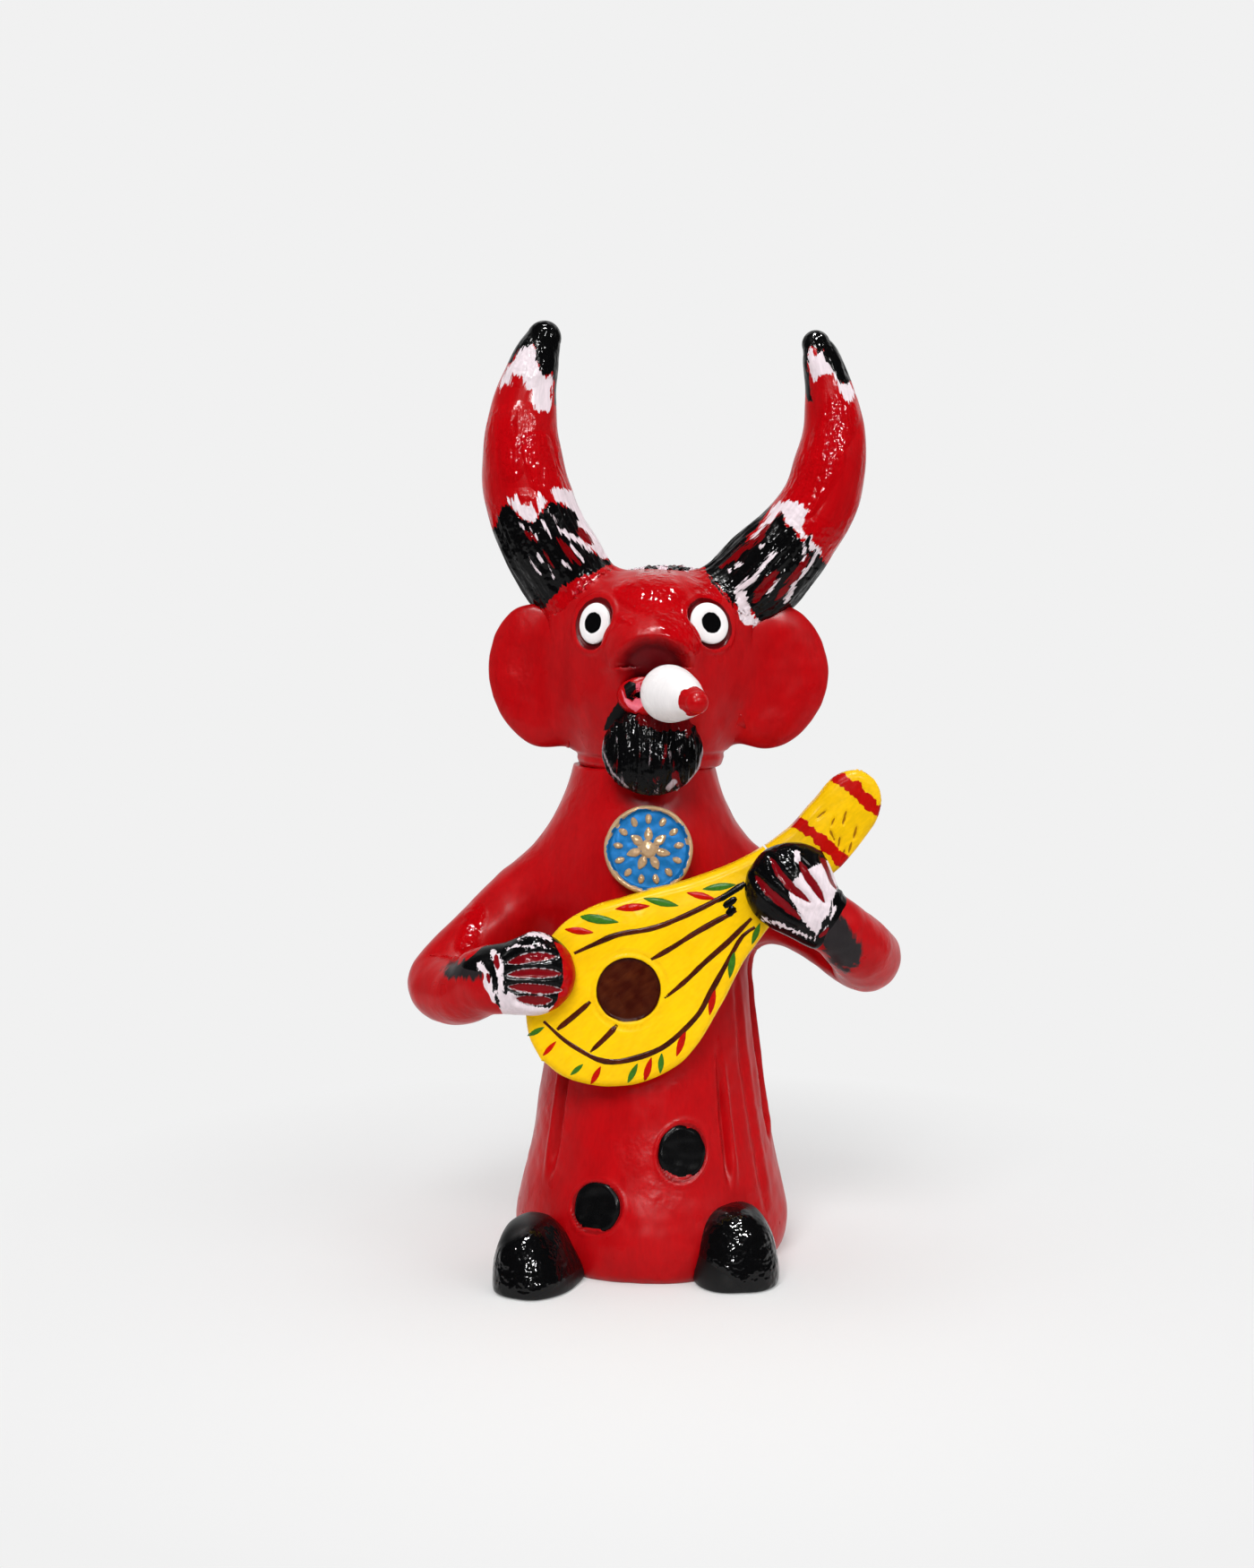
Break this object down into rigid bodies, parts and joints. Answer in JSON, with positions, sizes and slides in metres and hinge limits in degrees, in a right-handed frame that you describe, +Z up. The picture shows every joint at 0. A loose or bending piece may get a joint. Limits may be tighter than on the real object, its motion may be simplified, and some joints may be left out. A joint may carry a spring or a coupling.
{
  "type": "clay devil figurine",
  "caption": "Painted clay folk figure of a horned devil in a long hollow robe, smoking and playing a pear-shaped lute; stands on its open base as an ornament.",
  "frame": {"origin": "middle of the underside of the whole figure's box, on the surface that the robe stands on", "axes": "+Z up, the figure looks along -Y, +X to the right as seen from the front"},
  "size_m": [0.0938, 0.0687, 0.1798],
  "materials": {
    "red_paint": "hand-brushed red paint under gloss varnish",
    "black_paint": "black paint under gloss varnish",
    "white_paint": "white paint under gloss varnish",
    "yellow_paint": "yellow paint under gloss varnish",
    "bronze_paint": "bronze and blue paint under gloss varnish"
  },
  "bodies": {
    "root": {"robe": "red_paint", "head": "red_paint", "snout": "red_paint", "lip": "red_paint", "left_ear": "red_paint", "right_ear": "red_paint", "left_arm": "red_paint", "right_arm": "red_paint", "left_horn": "red_paint", "right_horn": "red_paint", "cigar": "white_paint", "left_eye": "white_paint", "right_eye": "white_paint", "beard": "black_paint", "hair": "black_paint", "left_hand": "black_paint", "right_hand": "black_paint", "left_foot": "black_paint", "right_foot": "black_paint", "button_upper": "black_paint", "button_lower": "black_paint", "lute_body": "yellow_paint", "lute_head": "yellow_paint", "medallion": "bronze_paint"}
  },
  "joints": []
}
